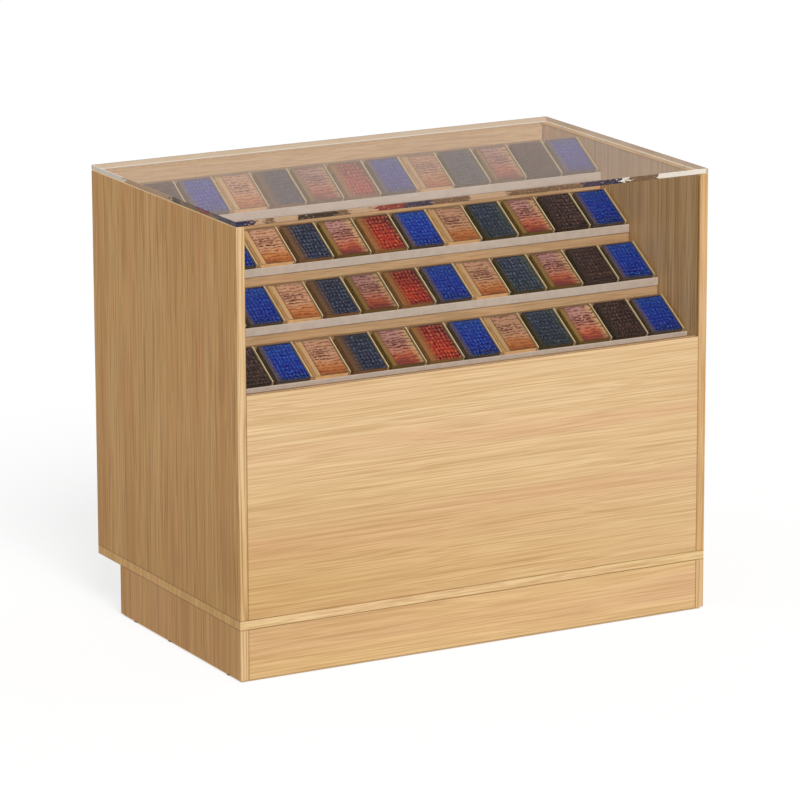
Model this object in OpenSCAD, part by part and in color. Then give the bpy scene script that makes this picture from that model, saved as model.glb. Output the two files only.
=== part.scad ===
// Counter-height display cabinet with a glass top and a glass front.
// A stepped rack holds sloping tiers of packs and pulls out to the rear on
// telescopic slides. Below it is a storage space with two hinged doors.
// Frame: X to the right, Y to the rear, Z up, origin on the floor at the
// middle of the cabinet. Sizes are in millimetres.

/* [Cabinet] */
// Overall width
cab_w = 1040; // [960:1:1300]
// Overall depth
cab_d = 630; // [600:1:760]
// Overall height, floor to top of the glass
cab_h = 900; // [870:1:980]
// Thickness of the faced boards
board_t = 18; // [16:0.5:20]
// Floor to the underside of the bottom board
plinth_h = 104; // [80:1:150]
// How far the plinth stops short of the rear
toe_recess = 102; // [60:1:140]
// Floor to the top edge of the front panel
front_top_z = 563; // [545:1:585]
// Floor to the top face of the deck under the rack
deck_top_z = 458; // [430:1:460]
// Floor to the underside of the storage shelves
shelf_z = 272; // [230:1:320]
// How far the shelves stop short of the doors
shelf_setback = 24; // [15:1:60]

/* [Glass] */
// Thickness of the glass top
top_glass_t = 10; // [8:1:12]
// Bevel on the edges of the glass top
top_glass_bevel = 0.8; // [0.4:0.1:1.5]
// Thickness of the front glass
front_glass_t = 5; // [4:0.5:6]
// Front edges of the side panels to the groove of the front glass
groove_setback = 4; // [3:0.5:8]
// Depth of the glass grooves in the side panels
side_groove_d = 6; // [4:0.5:8]
// Depth of the glass groove in the front panel's top edge
front_groove_d = 8; // [5:0.5:12]
// Play between the front glass and each wall of its groove
glass_play = 0.5; // [0.3:0.1:1]
// Thickness of the clear pads under the glass top
pad_t = 1; // [0.8:0.1:2]
// Radius of the clear pads
pad_r = 5; // [3:0.5:7]

/* [Tiers] */
// Front of the cabinet to the first lip
lip_setback = 39; // [30:1:50]
// Front to rear distance from one tier to the next
tier_pitch = 112; // [106:1:118]
// Thickness of the sloping tier boards
bed_t = 17; // [14:0.5:18]
// How far a tier board runs under the lip of the next tier
bed_lap = 5; // [3:0.5:8]
// Height of the lips above their seat
lip_h = 16; // [12:0.5:18]
// Thickness of the lips
lip_t = 4; // [3:0.5:5]
// How far a lip stands in front of its board
lip_proud = 2; // [0.5:0.1:2.5]
// How far the first lip stands above the front panel's top edge
lip_over = 3; // [0:0.5:6]
// Gap between the top tier with its packs and dividers and the glass
under_glass_gap = 2; // [1.5:0.5:10]

/* [Packs] */
// Width of a pack
pack_w = 70.5; // [64:0.5:74]
// Length of a pack along the slope
pack_len = 100; // [85:1:105]
// Thickness of a pack
pack_t = 19; // [16:0.5:22]
// Bevel along the pack's long edges
pack_bevel = 1; // [0.5:0.1:2]
// Top end of a pack to its lid seam
lid_len = 27; // [20:1:35]
// Least gap between two packs
pack_gap = 12.5; // [12:0.5:16]
// Side of a pack to the left end of its column
pack_inset = 2; // [1:0.5:3]
// Blade thickness of the clear dividers
divider_t = 2; // [1:0.1:2.5]
// Height of the clear dividers
divider_h = 20; // [12:1:24]
// Foot width of the clear dividers
divider_foot = 7; // [5:0.5:8]

/* [Rack] */
// Gap between the rack and the side panels
rack_gap = 2; // [1.5:0.5:4]
// Gap between the deck and the rack's base
rack_lift = 3; // [2:0.5:6]
// Gap between the rear panel and the glass top
rear_panel_gap = 3; // [2:0.5:6]
// Thickness of the rack's gables
gable_t = 15; // [12:1:18]
// Height at which the gables meet the rear panel
gable_rear_z = 760; // [650:1:800]

/* [Slides] */
// Length of the slide members
slide_len = 500; // [500:10:540]
// Height of the outer member
slide_h = 45; // [42:1:50]
// Closed thickness of a slide
slide_t = 12.7; // [12:0.1:14]
// Sheet thickness of the members
slide_sheet = 1.2; // [1:0.1:1.4]
// Space between nested flanges, taken up by the balls
race_gap = 2.4; // [2:0.1:3]
// Base of the rack to the lower edge of the slide
slide_lift = 4; // [2:0.5:6]
// Balls in each row
row_balls = 5; // [3:1:8]
// Distance from ball to ball
ball_pitch = 12; // [8:1:20]

/* [Doors] */
// Gap round the doors at the boards
door_gap = 2; // [1.5:0.5:3]
// Gap between the hinge edge of a door and the side panel
hinge_gap = 3; // [3:0.1:4]
// Radius of the hinge knuckles
knuckle_r = 3.5; // [3:0.1:4.5]
// Radius of the hinge pins
hinge_pin_r = 2; // [1.5:0.1:2.2]
// Height of a hinge
hinge_h = 60; // [45:1:80]
// Distance of the hinges from the ends of a door
hinge_inset = 40; // [30:1:60]
// Sheet thickness of the hinge leaves
leaf_t = 1.2; // [0.8:0.1:1.3]

/* [Handles and lock] */
// Distance between the two posts of a handle
handle_pitch = 128; // [96:32:160]
// Radius of the handle bar
handle_r = 5; // [4:0.5:7]
// Panel to the middle of the handle bar
handle_reach = 28; // [24:1:40]
// Middle of the cabinet to a door handle
door_handle_x = 62; // [50:1:90]
// Middle of the cabinet to a rack handle
rack_handle_x = 210; // [120:1:300]
// Floor to the rack handles
rack_handle_z = 690; // [560:1:800]
// Radius of the lock's housing
lock_r = 9.5; // [8:0.5:11]
// Radius of the turning lock plug
lock_plug_r = 6; // [5:0.5:7]
// Middle of the cabinet to the lock
lock_x = 30; // [26:1:38]
// Length of the lock's cam from its middle
cam_len = 33; // [28:1:36]

/* [Hidden] */
$fn = 48;

wood = [0.88, 0.73, 0.52];
wood_edge = [0.92, 0.80, 0.61];
clear = [0.78, 0.86, 0.84, 0.35];
steel = [0.74, 0.75, 0.77];

// Outer faces of the cabinet
front_y = -cab_d / 2;
rear_y = cab_d / 2;
inner_x = cab_w / 2 - board_t;
side_top_z = cab_h - top_glass_t - pad_t;
floor_top_z = plinth_h + board_t;
deck_under_z = deck_top_z - board_t;
front_inner_y = front_y + board_t;
rear_inner_y = rear_y - board_t;

// Clearance that lets a fitting enter its hole
fit_play = 0.05;
// Clearance between pieces that only rest on each other
rest_play = 0.1;

// Glass groove
groove_w = front_glass_t + 2 * glass_play;
groove_y = front_y + groove_setback;
glass_seat_z = front_top_z - front_groove_d;
pad_count = 4;

// Plinth and glides
glide_h = 4;
glide_r = 8;
nail_r = 1.5;
nail_len = 12;
plinth_rear_y = rear_y - toe_recess;
glide_inset_y = 60;

// Board fasteners: a cam turned in a blind hole and its steel bolt
cam_r = 7.5;
cam_depth = 12.5;
cam_set = 34;
bolt_r = 3;
bolt_grip = 10;
cam_y = 200;
front_cam_low_z = floor_top_z + 50;
front_cam_high_z = deck_under_z - 40;

// Shelf pins
pin_r = 2.5;
pin_grip = 8;
pin_out = 8;
pin_y = 190;
shelf_play = 1;

// Tiers: the slope is solved so that the top tier ends under the glass
tiers = 4;
tier_w = 2 * (inner_x - rack_gap);
lip_top_z = front_top_z + lip_over;
rack_top_z = cab_h - top_glass_t - under_glass_gap;

function tier_step(a) = tier_pitch * tan(a) + bed_t / cos(a) + rest_play;
function pack_rise(a) = (lip_t * cos(a) + lip_h * sin(a) + pack_len + rest_play) * sin(a)
    + (max(pack_t, divider_h) + rest_play) * cos(a);
function bed_rise(a) = (tier_pitch + bed_lap) * tan(a);
function rack_rise(a) = (tiers - 1) * tier_step(a) - lip_h + max(pack_rise(a), bed_rise(a));
function solve_slope(low, high, turns) =
    let (mid = (low + high) / 2)
    turns == 0 ? mid
    : rack_rise(mid) < rack_top_z - lip_top_z ? solve_slope(mid, high, turns - 1)
    : solve_slope(low, mid, turns - 1);

slope = solve_slope(15, 55, 40);
tier_rise = tier_step(slope);
bed_drop = bed_t / cos(slope);

function lip_y(i) = front_y + lip_setback + i * tier_pitch;
function lip_z(i) = lip_top_z + i * tier_rise;
function bed_z(i, y) = lip_z(i) - lip_h + (y - lip_y(i)) * tan(slope);

// Packs stand in columns, and each column has one colour
columns = floor(tier_w / (pack_w + pack_gap));
column_pitch = tier_w / columns;
column_kinds = ["brown", "blue", "tan", "navy", "rose", "red", "blue", "tan",
    "teal", "rose", "brown", "blue"];
pack_start = lip_t * cos(slope) + lip_h * sin(slope) + rest_play;
seam_w = 0.6;
seam_d = 0.4;

// Rack
base_under_z = deck_top_z + rack_lift;
base_top_z = base_under_z + board_t;
gable_out_x = inner_x - slide_t;
gable_front_y = lip_y(0) + lip_proud;
step_play = 0.3;

// Slides, counted inwards from the side panel
slide_z = base_top_z + slide_lift + slide_h / 2;
slide_rear_y = rear_inner_y - 7;
slide_mid_y = slide_rear_y - slide_len / 2;
middle_web = 1.8;
inner_web = slide_t - slide_sheet;
flange_end = slide_t - 1.7;
outer_half = slide_h / 2;
middle_half = outer_half - slide_sheet - race_gap;
inner_half = middle_half - slide_sheet - race_gap;
ball_r = race_gap / 2 - rest_play;
ball_in = (middle_web + flange_end) / 2 + 1;
ball_inset = 8;
outer_row = middle_half + race_gap / 2;
inner_row = inner_half + race_gap / 2;
race_r = race_gap / 2 + 0.05;
race_w = race_gap + 2;
race_h = 0.7;

// Doors and hinges
door_low_z = floor_top_z + door_gap;
door_high_z = deck_under_z - door_gap;
door_edge_x = inner_x - hinge_gap;
meet_gap = 1.5;
hinge_x = inner_x - hinge_gap / 2;
hinge_y = rear_y + knuckle_r + 0.2;
knuckles = 3;
knuckle_gap = 0.3;
pin_play = 0.05;
leaf_w = 15;
hinge_zs = [door_low_z + hinge_inset, door_high_z - hinge_inset - hinge_h];

// Lock, keeper and catches
lock_z = deck_under_z - cam_len - 4;
lock_flange_r = lock_r + 2;
lock_flange_t = 1.5;
lock_tail = 2;
cam_t = 2;
cam_w = 12;
key_slot_w = 1.6;
key_slot_d = 3;
keeper_w = 24;
keeper_drop = 12;
keeper_foot = 18;
keeper_t = 1.5;
catch_w = 46;
catch_h = 14;
catch_d = 15;
catch_x = 74;

// A plain board between two opposite corners
module board(low, high) {
    translate(low) cube(high - low);
}

// An outline drawn in Y and Z, drawn out along X about the middle
module across(width) {
    rotate([90, 0, 90]) linear_extrude(width, center = true) children();
}

// Children for the left and right side in one go
module both_sides() {
    children();
    mirror([1, 0, 0]) children();
}

// A rod along X, from x on inwards or outwards
module rod_x(r, len) {
    rotate([0, 90, 0]) cylinder(r = r, h = len);
}

// Cam and bolt for a board end that meets the right side panel.
// The cam's blind hole opens downwards at the origin.
module cam_from_below(play) {
    cylinder(r = cam_r + play, h = cam_depth);
    translate([cam_r - 2, 0, board_t / 2])
        rod_x(bolt_r + play, cam_set + bolt_grip - cam_r + 2 + play);
}

// Places of the fasteners on the right-hand side
module deck_cams(play) {
    for (y = [-cam_y, cam_y])
        translate([inner_x - cam_set, y, deck_under_z]) cam_from_below(play);
}

module front_cams(play) {
    for (z = [front_cam_low_z, front_cam_high_z])
        translate([inner_x - cam_set, front_inner_y, z]) rotate([90, 0, 0])
            cam_from_below(play);
}

module side_cams(play) {
    for (y = [-cam_y, cam_y])
        translate([inner_x, y, floor_top_z + cam_set]) rotate([0, 90, 0])
            cam_from_below(play);
}

module all_cams(play) {
    both_sides() {
        deck_cams(play);
        front_cams(play);
        side_cams(play);
    }
}

// Pins in the right side panel and in the right face of the divider
module shelf_pin_pair(play) {
    for (y = [-pin_y, pin_y])
        translate([0, y, shelf_z - pin_r]) {
            translate([inner_x - pin_out, 0, 0])
                rod_x(pin_r + play, pin_out + pin_grip + play);
            translate([board_t / 2 - pin_grip - play, 0, 0])
                rod_x(pin_r + play, pin_out + pin_grip + play);
        }
}

module bottom_board() {
    color(wood)
        difference() {
            board([-cab_w / 2, front_y, plinth_h], [cab_w / 2, rear_y, floor_top_z]);
            all_cams(fit_play);
        }
}

module side_panel_right() {
    color(wood)
        difference() {
            board([inner_x, front_y, floor_top_z], [cab_w / 2, rear_y, side_top_z]);
            board([inner_x - 1, groove_y, glass_seat_z],
                [inner_x + side_groove_d, groove_y + groove_w, side_top_z + 1]);
            deck_cams(fit_play);
            front_cams(fit_play);
            side_cams(fit_play);
            shelf_pin_pair(fit_play);
        }
}

module side_panel_left() {
    mirror([1, 0, 0]) side_panel_right();
}

module front_panel() {
    color(wood)
        difference() {
            board([-inner_x, front_y, floor_top_z], [inner_x, front_inner_y, front_top_z]);
            board([-inner_x - 1, groove_y, glass_seat_z],
                [inner_x + 1, groove_y + groove_w, front_top_z + 1]);
            both_sides() front_cams(fit_play);
        }
}

module deck_board() {
    color(wood)
        difference() {
            board([-inner_x, front_inner_y, deck_under_z], [inner_x, rear_y, deck_top_z]);
            both_sides() deck_cams(fit_play);
        }
}

module storage_divider() {
    color(wood)
        difference() {
            board([-board_t / 2, front_inner_y, floor_top_z],
                [board_t / 2, rear_inner_y - step_play, deck_under_z]);
            both_sides() shelf_pin_pair(fit_play);
        }
}

module storage_shelf_right() {
    color(wood)
        board([board_t / 2 + shelf_play, front_inner_y + shelf_play, shelf_z],
            [inner_x - shelf_play, rear_inner_y - shelf_setback, shelf_z + board_t]);
}

module storage_shelf_left() {
    mirror([1, 0, 0]) storage_shelf_right();
}

module shelf_pins() {
    color(steel) both_sides() shelf_pin_pair(0);
}

module plinth_side_right() {
    color(wood)
        difference() {
            board([inner_x, front_y, glide_h], [cab_w / 2, plinth_rear_y, plinth_h]);
            glide_set(fit_play);
        }
}

module plinth_side_left() {
    mirror([1, 0, 0]) plinth_side_right();
}

module plinth_front() {
    color(wood)
        board([-inner_x, front_y, glide_h], [inner_x, front_inner_y, plinth_h]);
}

module plinth_rear() {
    color(wood)
        board([-inner_x, plinth_rear_y - board_t, glide_h],
            [inner_x, plinth_rear_y, plinth_h]);
}

module plinth_brace() {
    color(wood)
        difference() {
            board([-board_t / 2, front_inner_y, glide_h],
                [board_t / 2, plinth_rear_y - board_t, plinth_h]);
            glide_set(fit_play);
        }
}

// Nail-on glides under the brace and the right side of the plinth
module glide_set(play) {
    for (p = [[0, 0], [inner_x + board_t / 2, front_y + glide_inset_y],
            [inner_x + board_t / 2, 0],
            [inner_x + board_t / 2, plinth_rear_y - glide_inset_y]])
        translate([p[0], p[1], 0]) {
            cylinder(r1 = glide_r - 1, r2 = glide_r, h = 1);
            translate([0, 0, 1]) cylinder(r = glide_r, h = glide_h - 1);
            cylinder(r = nail_r + play, h = glide_h + nail_len + play);
        }
}

module floor_glides() {
    color([0.2, 0.2, 0.2]) both_sides() glide_set(0);
}

module cam_fittings() {
    color(steel) all_cams(0);
}

module front_glass() {
    color(clear)
        board([-inner_x - side_groove_d + glass_play, groove_y + glass_play, glass_seat_z],
            [inner_x + side_groove_d - glass_play, groove_y + groove_w - glass_play,
                side_top_z]);
}

module glass_top() {
    b = top_glass_bevel;
    color(clear)
        intersection() {
            across(cab_w) bevelled(cab_d, top_glass_t, b);
            rotate([0, 0, 90]) across(cab_d) bevelled(cab_w, top_glass_t, b);
        }
}

// A sheet's section with bevelled corners, its top at the cabinet's height
module bevelled(width, thick, b) {
    w = width / 2;
    polygon([[-w + b, cab_h], [-w, cab_h - b], [-w, cab_h - thick + b],
        [-w + b, cab_h - thick], [w - b, cab_h - thick], [w, cab_h - thick + b],
        [w, cab_h - b], [w - b, cab_h]]);
}

module glass_pads() {
    pitch = cab_d / pad_count;
    color(clear)
        both_sides()
            for (i = [0 : pad_count - 1])
                translate([cab_w / 2 - board_t / 2, front_y + (i + 0.5) * pitch, side_top_z])
                    cylinder(r = pad_r, h = pad_t);
}

// Sloping board of one tier, with a rebate that seats its lip
module tier_bed(i) {
    y0 = lip_y(i) + lip_proud;
    y1 = lip_y(i) + lip_t;
    y2 = lip_y(i + 1) + bed_lap;
    seat = lip_z(i) - lip_h;
    color(wood)
        across(tier_w)
            polygon([[y0, bed_z(i, y0) - bed_drop], [y0, seat], [y1, seat],
                [y1, bed_z(i, y1)], [y2, bed_z(i, y2)], [y2, bed_z(i, y2) - bed_drop]]);
}

// Front stop of one tier, with a rounded top
module tier_lip(i) {
    r = 1.2;
    color([0.75, 0.70, 0.65])
        across(tier_w)
            translate([lip_y(i), lip_z(i) - lip_h]) {
                square([lip_t, lip_h - r]);
                translate([r, lip_h - r]) circle(r = r);
                translate([lip_t - r, lip_h - r]) circle(r = r);
                translate([r, lip_h - r]) square([lip_t - 2 * r, r]);
            }
}

// Places children on tier i at column c: X across the column, Y up the slope
module on_tier(i, c) {
    translate([-tier_w / 2 + c * column_pitch, lip_y(i), lip_z(i) - lip_h])
        rotate([slope, 0, 0]) children();
}

// Upright section of a pack with bevelled long edges
module pack_section(inset) {
    b = pack_bevel;
    w = pack_w - inset;
    t = pack_t - inset;
    polygon([[inset + b, inset], [w - b, inset], [w, inset + b], [w, t - b],
        [w - b, t], [inset + b, t], [inset, t - b], [inset, inset + b]]);
}

// A flip-top pack lying on its back, with the seam of its lid
module pack() {
    translate([pack_inset, pack_start + pack_len, rest_play])
        rotate([90, 0, 0]) {
            linear_extrude(lid_len) pack_section(0);
            translate([0, 0, lid_len]) linear_extrude(seam_w) pack_section(seam_d);
            translate([0, 0, lid_len + seam_w])
                linear_extrude(pack_len - lid_len - seam_w) pack_section(0);
        }
}

module packs(kind, tint) {
    color(tint)
        for (i = [0 : tiers - 1], c = [0 : columns - 1])
            if (column_kinds[c % len(column_kinds)] == kind) on_tier(i, c) pack();
}

// L-section divider in the gap to the right of each pack
module pack_dividers() {
    x = pack_inset + pack_w + (column_pitch - pack_w - divider_foot) / 2;
    color(clear)
        for (i = [0 : tiers - 1], c = [0 : columns - 1])
            on_tier(i, c)
                translate([x - pack_inset / 2, pack_start + pack_len, 0])
                    rotate([90, 0, 0]) linear_extrude(pack_len)
                        polygon([[0, rest_play], [divider_foot, rest_play],
                            [divider_foot, rest_play + divider_t],
                            [divider_t, rest_play + divider_t],
                            [divider_t, divider_h], [0, divider_h]]);
}

module rack_base() {
    color(wood)
        board([-gable_out_x, gable_front_y, base_under_z],
            [gable_out_x, rear_inner_y, base_top_z]);
}

module rack_rear_panel() {
    w = inner_x - rack_gap;
    color(wood)
        board([-w, rear_inner_y, base_under_z],
            [w, rear_y, cab_h - top_glass_t - rear_panel_gap]);
}

// Stepped outline of a gable: the boards of the tiers lie on its slopes
function gable_steps() = [for (i = [0 : tiers - 1])
    let (y0 = i == 0 ? gable_front_y : lip_y(i) + bed_lap + step_play,
        y1 = lip_y(i + 1) + bed_lap + (i < tiers - 1 ? step_play : 0))
    each [[y0, bed_z(i, y0) - bed_drop - rest_play],
        [y1, bed_z(i, y1) - bed_drop - rest_play]]];

module gable(x) {
    color(wood)
        translate([x, 0, 0])
            across(gable_t)
                polygon(concat([[rear_inner_y, base_top_z], [gable_front_y, base_top_z]],
                    gable_steps(), [[rear_inner_y, gable_rear_z]]));
}

module rack_gable_left() { gable(-gable_out_x + gable_t / 2); }

module rack_gable_centre() { gable(0); }

module rack_gable_right() { gable(gable_out_x - gable_t / 2); }

// Channel section in X and Z: web from x0, flanges out to x1, z = +-half
module channel(x0, x1, half, web_at) {
    square_at([min(x0, x1), half - slide_sheet], [max(x0, x1), half]);
    square_at([min(x0, x1), -half], [max(x0, x1), -half + slide_sheet]);
    square_at([web_at, -half], [web_at + slide_sheet, half]);
}

module square_at(low, high) {
    translate(low) square(high - low);
}

// Shoulders on both flanges that flank the ball rows at z = +-row. They grow
// from the flange outside the row (side 1) or inside it (side -1).
module shoulders(row, side) {
    tip = row + side * (race_gap / 2 - race_h);
    root = row + side * (race_gap + slide_sheet) / 2;
    for (s = [-1, 1])
        square_at([ball_in - race_w / 2, min(s * tip, s * root)],
            [ball_in + race_w / 2, max(s * tip, s * root)]);
}

// Cuts the rounded races for the ball rows at z = +-row
module race_cuts(row) {
    for (z = [-row, row]) translate([ball_in, z]) circle(r = race_r);
}

// Draws a section of the right-hand slide, counted inwards from the panel
module slide_member() {
    translate([inner_x, slide_rear_y, slide_z])
        mirror([1, 0, 0]) rotate([90, 0, 0]) linear_extrude(slide_len) children();
}

module slide_outer_right() {
    color(steel)
        slide_member()
            difference() {
                union() {
                    channel(0, flange_end, outer_half, 0);
                    shoulders(outer_row, 1);
                }
                race_cuts(outer_row);
            }
}

module slide_outer_left() {
    mirror([1, 0, 0]) slide_outer_right();
}

module slide_middle_right() {
    color(steel)
        slide_member()
            difference() {
                union() {
                    channel(middle_web, flange_end, middle_half, middle_web);
                    shoulders(outer_row, -1);
                    shoulders(inner_row, 1);
                }
                race_cuts(outer_row);
                race_cuts(inner_row);
            }
}

module slide_middle_left() {
    mirror([1, 0, 0]) slide_middle_right();
}

module slide_inner_right() {
    color(steel)
        slide_member()
            difference() {
                union() {
                    channel(middle_web + slide_sheet + 1, slide_t, inner_half, inner_web);
                    shoulders(inner_row, -1);
                }
                race_cuts(inner_row);
            }
}

module slide_inner_left() {
    mirror([1, 0, 0]) slide_inner_right();
}

// Ball rows: the outer race at the front end, the inner race at the rear end
module slide_balls() {
    color([0.9, 0.9, 0.92])
        both_sides()
            for (k = [0 : row_balls - 1], s = [-1, 1]) {
                translate([inner_x - ball_in, slide_rear_y - slide_len + ball_inset
                        + k * ball_pitch, slide_z + s * outer_row])
                    sphere(r = ball_r);
                translate([inner_x - ball_in, slide_rear_y - ball_inset - k * ball_pitch,
                        slide_z + s * inner_row])
                    sphere(r = ball_r);
            }
}

// Bar handle on two posts, lying along X, its posts' feet at the origin's plane
module handle() {
    end = handle_r + 8;
    for (x = [-handle_pitch / 2, handle_pitch / 2])
        translate([x, 0, 0]) rotate([-90, 0, 0]) {
            cylinder(r = handle_r + 2, h = 2);
            cylinder(r = handle_r - 0.5, h = handle_reach);
        }
    translate([-handle_pitch / 2 - end, handle_reach, 0]) {
        rod_x(handle_r, handle_pitch + 2 * end);
        sphere(r = handle_r);
        translate([handle_pitch + 2 * end, 0, 0]) sphere(r = handle_r);
    }
}

module rack_handles() {
    color(steel)
        both_sides() translate([rack_handle_x, rear_y, rack_handle_z]) handle();
}

module door_handle_right() {
    color(steel)
        translate([door_handle_x, rear_y, (door_low_z + door_high_z) / 2])
            rotate([0, 90, 0]) handle();
}

module door_handle_left() {
    mirror([1, 0, 0]) door_handle_right();
}

module plain_door_right() {
    board([meet_gap, rear_inner_y, door_low_z], [door_edge_x, rear_y, door_high_z]);
}

module door_left() {
    color(wood) mirror([1, 0, 0]) plain_door_right();
}

module door_right() {
    color(wood)
        difference() {
            plain_door_right();
            translate([lock_x, rear_inner_y - 1, lock_z]) rotate([-90, 0, 0])
                cylinder(r = lock_r + fit_play, h = board_t + 2);
        }
}

// One leaf of a hinge. Knuckle k is on this leaf where k % 2 == which.
module hinge_leaf(which, x_low, bore_r) {
    part = hinge_h / knuckles;
    y_far = hinge_y - (hinge_pin_r + knuckle_r) / 2;
    for (k = [0 : knuckles - 1])
        translate([0, 0, k * part + knuckle_gap / 2])
            if (k % 2 == which)
                difference() {
                    union() {
                        board([x_low, rear_y - leaf_w, 0],
                            [x_low + leaf_t, y_far, part - knuckle_gap]);
                        translate([hinge_x, hinge_y, 0])
                            cylinder(r = knuckle_r, h = part - knuckle_gap);
                    }
                    translate([hinge_x, hinge_y, -1]) cylinder(r = bore_r, h = part + 2);
                }
    board([x_low, rear_y - leaf_w, knuckle_gap / 2],
        [x_low + leaf_t, rear_y - 0.3, hinge_h - knuckle_gap / 2]);
}

module hinge_set(which, x_low, bore_r) {
    for (z = hinge_zs)
        translate([0, 0, z]) hinge_leaf(which, x_low, bore_r);
}

module hinge_leaves_cabinet() {
    color(steel) both_sides() hinge_set(0, inner_x - leaf_t, hinge_pin_r);
}

module hinge_leaves_right() {
    color(steel) hinge_set(1, door_edge_x, hinge_pin_r + pin_play);
}

module hinge_leaves_left() {
    mirror([1, 0, 0]) hinge_leaves_right();
}

module hinge_pins() {
    color(steel)
        both_sides()
            for (z = hinge_zs)
                translate([hinge_x, hinge_y, z]) {
                    cylinder(r = hinge_pin_r, h = hinge_h);
                    translate([0, 0, hinge_h]) cylinder(r = hinge_pin_r + 1, h = 1);
                    translate([0, 0, -1]) cylinder(r = hinge_pin_r + 1, h = 1);
                }
}

// Magnetic catches under the deck, one behind each door
module door_catches() {
    color([0.85, 0.84, 0.8])
        both_sides()
            board([catch_x, rear_inner_y - step_play - catch_d, deck_under_z - catch_h],
                [catch_x + catch_w, rear_inner_y - step_play, deck_under_z]);
}

// Angle under the deck behind which the lock's cam turns
module lock_keeper() {
    y = rear_inner_y - lock_tail;
    color(steel)
        translate([lock_x - keeper_w / 2, 0, 0]) {
            board([0, y, deck_under_z - keeper_drop], [keeper_w, y + keeper_t, deck_under_z]);
            board([0, y - keeper_foot, deck_under_z - keeper_t],
                [keeper_w, y + keeper_t, deck_under_z]);
        }
}

module lock_housing() {
    color(steel)
        translate([lock_x, rear_y, lock_z]) rotate([90, 0, 0])
            difference() {
                union() {
                    translate([0, 0, -lock_flange_t])
                        cylinder(r = lock_flange_r, h = lock_flange_t);
                    cylinder(r = lock_r, h = board_t + lock_tail);
                }
                translate([0, 0, -5])
                    cylinder(r = lock_plug_r + pin_play, h = board_t + lock_tail + 10);
            }
}

// Turning plug with its key slot and the cam behind the door
module lock_plug() {
    len = board_t + lock_tail;
    color([0.8, 0.78, 0.7])
        translate([lock_x, rear_y, lock_z]) rotate([90, 0, 0]) {
            difference() {
                translate([0, 0, -lock_flange_t])
                    cylinder(r = lock_plug_r, h = len + lock_flange_t + 0.5);
                translate([-lock_plug_r * 0.6, -key_slot_w / 2, -lock_flange_t - 1])
                    cube([lock_plug_r * 1.2, key_slot_w, key_slot_d + 1]);
            }
            translate([0, 0, len + 0.5]) {
                cylinder(r = cam_w / 2, h = cam_t);
                translate([0, -cam_w / 2, 0]) cube([cam_len, cam_w, cam_t]);
            }
        }
}

bottom_board();
side_panel_left();
side_panel_right();
front_panel();
deck_board();
storage_divider();
storage_shelf_left();
storage_shelf_right();
shelf_pins();
plinth_front();
plinth_rear();
plinth_side_left();
plinth_side_right();
plinth_brace();
floor_glides();
cam_fittings();
front_glass();
glass_top();
glass_pads();
slide_outer_left();
slide_outer_right();
hinge_leaves_cabinet();
hinge_pins();
door_catches();
lock_keeper();
slide_middle_left();
slide_middle_right();
slide_balls();
rack_base();
rack_rear_panel();
rack_gable_left();
rack_gable_centre();
rack_gable_right();
tier_bed(0);  // tier_bed_1
tier_bed(1);  // tier_bed_2
tier_bed(2);  // tier_bed_3
tier_bed(3);  // tier_bed_4
tier_lip(0);  // tier_lip_1
tier_lip(1);  // tier_lip_2
tier_lip(2);  // tier_lip_3
tier_lip(3);  // tier_lip_4
pack_dividers();
packs("brown", [0.27, 0.19, 0.16]);  // packs_brown
packs("blue", [0.13, 0.25, 0.60]);  // packs_blue
packs("tan", [0.72, 0.52, 0.40]);  // packs_tan
packs("navy", [0.19, 0.22, 0.28]);  // packs_navy
packs("rose", [0.70, 0.43, 0.36]);  // packs_rose
packs("red", [0.66, 0.17, 0.14]);  // packs_red
packs("teal", [0.17, 0.24, 0.25]);  // packs_teal
rack_handles();
slide_inner_left();
slide_inner_right();
door_left();
door_handle_left();
hinge_leaves_left();
door_right();
door_handle_right();
hinge_leaves_right();
lock_housing();
lock_plug();
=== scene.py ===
"""Looks of a counter-height glass display cabinet, built round its fixed CAD frame.

The carcass, the glass, the slides and the doors are CAD nodes that get their finishes here. The packs
on the four tiers and the small screws are modelled here. Lengths are in metres.
"""

from __future__ import annotations

import logging
import math
import random
from collections.abc import Callable, Sequence
from dataclasses import dataclass, field
from enum import Enum
from typing import Any

import bpy
from mathutils import Matrix, Quaternion, Vector

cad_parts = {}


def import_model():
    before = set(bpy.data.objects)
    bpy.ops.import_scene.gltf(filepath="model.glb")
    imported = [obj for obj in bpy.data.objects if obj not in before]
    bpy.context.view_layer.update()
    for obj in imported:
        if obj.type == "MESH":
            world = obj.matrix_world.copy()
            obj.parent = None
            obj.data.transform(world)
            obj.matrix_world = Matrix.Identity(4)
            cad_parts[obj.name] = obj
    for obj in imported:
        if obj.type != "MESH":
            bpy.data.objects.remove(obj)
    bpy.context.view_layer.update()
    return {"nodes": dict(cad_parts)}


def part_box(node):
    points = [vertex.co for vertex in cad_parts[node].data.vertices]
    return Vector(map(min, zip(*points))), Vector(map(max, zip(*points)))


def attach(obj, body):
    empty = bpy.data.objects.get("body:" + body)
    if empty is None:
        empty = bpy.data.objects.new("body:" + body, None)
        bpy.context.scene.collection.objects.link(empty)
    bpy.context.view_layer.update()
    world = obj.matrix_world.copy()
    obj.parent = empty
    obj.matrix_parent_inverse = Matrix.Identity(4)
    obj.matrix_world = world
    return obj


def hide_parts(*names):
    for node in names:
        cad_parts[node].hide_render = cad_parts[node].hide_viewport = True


LOG = logging.getLogger("cabinet")
MM = 0.001
SIDES = (("left", -1), ("right", 1))

# Angles between faces: a modelled piece is smooth below the first, a board's edge is eased above the second
SMOOTH_BELOW = math.radians(35)
EASED_ABOVE = math.radians(40)

Colour = tuple[float, float, float, float]
Box = tuple[Vector, Vector]
Socket = bpy.types.NodeSocket


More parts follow.
